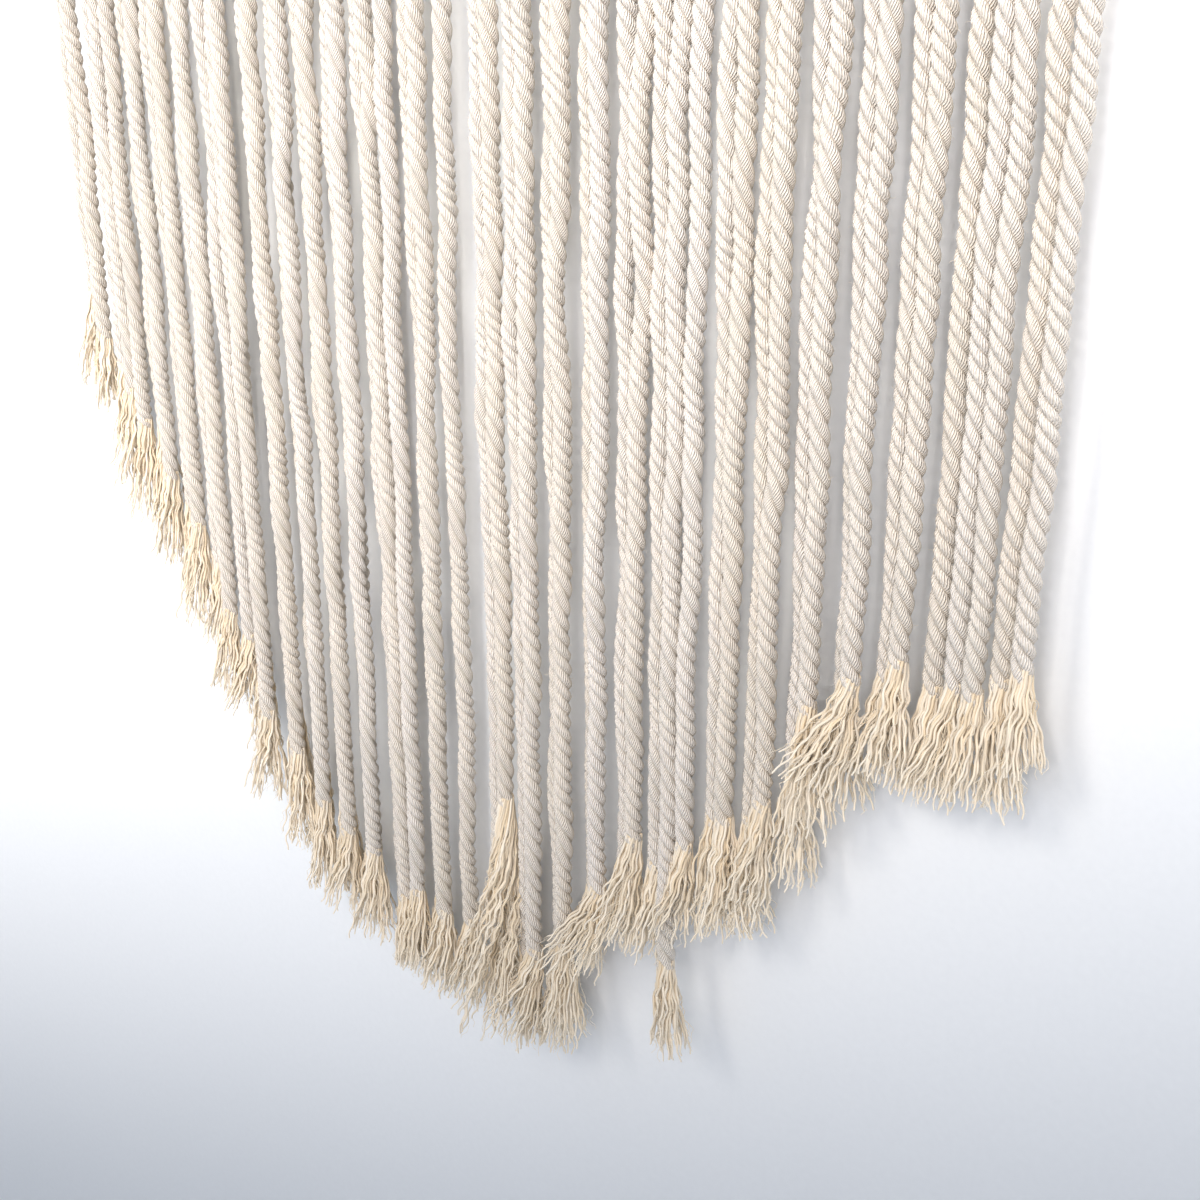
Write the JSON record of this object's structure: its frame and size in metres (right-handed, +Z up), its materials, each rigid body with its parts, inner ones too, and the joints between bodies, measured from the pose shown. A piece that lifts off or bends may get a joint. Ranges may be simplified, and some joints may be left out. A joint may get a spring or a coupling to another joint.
{
  "type": "rope wall hanging",
  "caption": "Knotted cotton rope wall hanging: ropes folded over a wooden dowel, tied in columns of square knots, with a V-cut frayed fringe.",
  "frame": {"origin": "the underside of the hanger rope at the middle of its bend, where it rests on the nail or hook", "axes": "+X along the dowel, -Y out of the front towards the viewer and +Y towards the wall, +Z up"},
  "size_m": [0.4646, 0.0261, 0.8236],
  "materials": {
    "cotton_rope": "undyed twisted cotton, matt",
    "wood_dowel": "sanded, waxed"
  },
  "bodies": {
    "dowel": {"dowel": "wood_dowel", "hanger_rope": "cotton_rope"},
    "bundle_01": {"rope_01_left": "cotton_rope", "rope_01_right": "cotton_rope", "square_knots_01": "cotton_rope"},
    "bundle_02": {"rope_02_left": "cotton_rope", "rope_02_right": "cotton_rope", "square_knots_02": "cotton_rope"},
    "bundle_03": {"rope_03_left": "cotton_rope", "rope_03_right": "cotton_rope", "square_knots_03": "cotton_rope"},
    "bundle_04": {"rope_04_left": "cotton_rope", "rope_04_right": "cotton_rope", "square_knots_04": "cotton_rope"},
    "bundle_05": {"rope_05_left": "cotton_rope", "rope_05_right": "cotton_rope", "square_knots_05": "cotton_rope"},
    "bundle_06": {"rope_06_left": "cotton_rope", "rope_06_right": "cotton_rope", "square_knots_06": "cotton_rope"},
    "bundle_07": {"rope_07_left": "cotton_rope", "rope_07_right": "cotton_rope", "square_knots_07": "cotton_rope"},
    "bundle_08": {"rope_08_left": "cotton_rope", "rope_08_right": "cotton_rope", "square_knots_08": "cotton_rope"},
    "bundle_09": {"rope_09_left": "cotton_rope", "rope_09_right": "cotton_rope", "square_knots_09": "cotton_rope"},
    "bundle_10": {"rope_10_left": "cotton_rope", "rope_10_right": "cotton_rope", "square_knots_10": "cotton_rope"},
    "bundle_11": {"rope_11_left": "cotton_rope", "rope_11_right": "cotton_rope", "square_knots_11": "cotton_rope"},
    "bundle_12": {"rope_12_left": "cotton_rope", "rope_12_right": "cotton_rope", "square_knots_12": "cotton_rope"},
    "bundle_13": {"rope_13_left": "cotton_rope", "rope_13_right": "cotton_rope", "square_knots_13": "cotton_rope"},
    "bundle_14": {"rope_14_left": "cotton_rope", "rope_14_right": "cotton_rope", "square_knots_14": "cotton_rope"}
  },
  "joints": [
    {"name": "bundle_01_swing", "type": "hinge", "parent": "dowel", "child": "bundle_01", "pos_m": [-0.18345, 0, -0.16], "axis": [-1, 0, 0], "range_deg": [0, 75]},
    {"name": "bundle_02_swing", "type": "hinge", "parent": "dowel", "child": "bundle_02", "pos_m": [-0.15585, 0, -0.16], "axis": [-1, 0, 0], "range_deg": [0, 75]},
    {"name": "bundle_03_swing", "type": "hinge", "parent": "dowel", "child": "bundle_03", "pos_m": [-0.12825, 0, -0.16], "axis": [-1, 0, 0], "range_deg": [0, 75]},
    {"name": "bundle_04_swing", "type": "hinge", "parent": "dowel", "child": "bundle_04", "pos_m": [-0.10065, 0, -0.16], "axis": [-1, 0, 0], "range_deg": [0, 75]},
    {"name": "bundle_05_swing", "type": "hinge", "parent": "dowel", "child": "bundle_05", "pos_m": [-0.07305, 0, -0.16], "axis": [-1, 0, 0], "range_deg": [0, 75]},
    {"name": "bundle_06_swing", "type": "hinge", "parent": "dowel", "child": "bundle_06", "pos_m": [-0.04545, 0, -0.16], "axis": [-1, 0, 0], "range_deg": [0, 75]},
    {"name": "bundle_07_swing", "type": "hinge", "parent": "dowel", "child": "bundle_07", "pos_m": [-0.01785, 0, -0.16], "axis": [-1, 0, 0], "range_deg": [0, 75]},
    {"name": "bundle_08_swing", "type": "hinge", "parent": "dowel", "child": "bundle_08", "pos_m": [0.01785, 0, -0.16], "axis": [-1, 0, 0], "range_deg": [0, 75]},
    {"name": "bundle_09_swing", "type": "hinge", "parent": "dowel", "child": "bundle_09", "pos_m": [0.04545, 0, -0.16], "axis": [-1, 0, 0], "range_deg": [0, 75]},
    {"name": "bundle_10_swing", "type": "hinge", "parent": "dowel", "child": "bundle_10", "pos_m": [0.07305, 0, -0.16], "axis": [-1, 0, 0], "range_deg": [0, 75]},
    {"name": "bundle_11_swing", "type": "hinge", "parent": "dowel", "child": "bundle_11", "pos_m": [0.10065, 0, -0.16], "axis": [-1, 0, 0], "range_deg": [0, 75]},
    {"name": "bundle_12_swing", "type": "hinge", "parent": "dowel", "child": "bundle_12", "pos_m": [0.12825, 0, -0.16], "axis": [-1, 0, 0], "range_deg": [0, 75]},
    {"name": "bundle_13_swing", "type": "hinge", "parent": "dowel", "child": "bundle_13", "pos_m": [0.15585, 0, -0.16], "axis": [-1, 0, 0], "range_deg": [0, 75]},
    {"name": "bundle_14_swing", "type": "hinge", "parent": "dowel", "child": "bundle_14", "pos_m": [0.18345, 0, -0.16], "axis": [-1, 0, 0], "range_deg": [0, 75]}
  ]
}
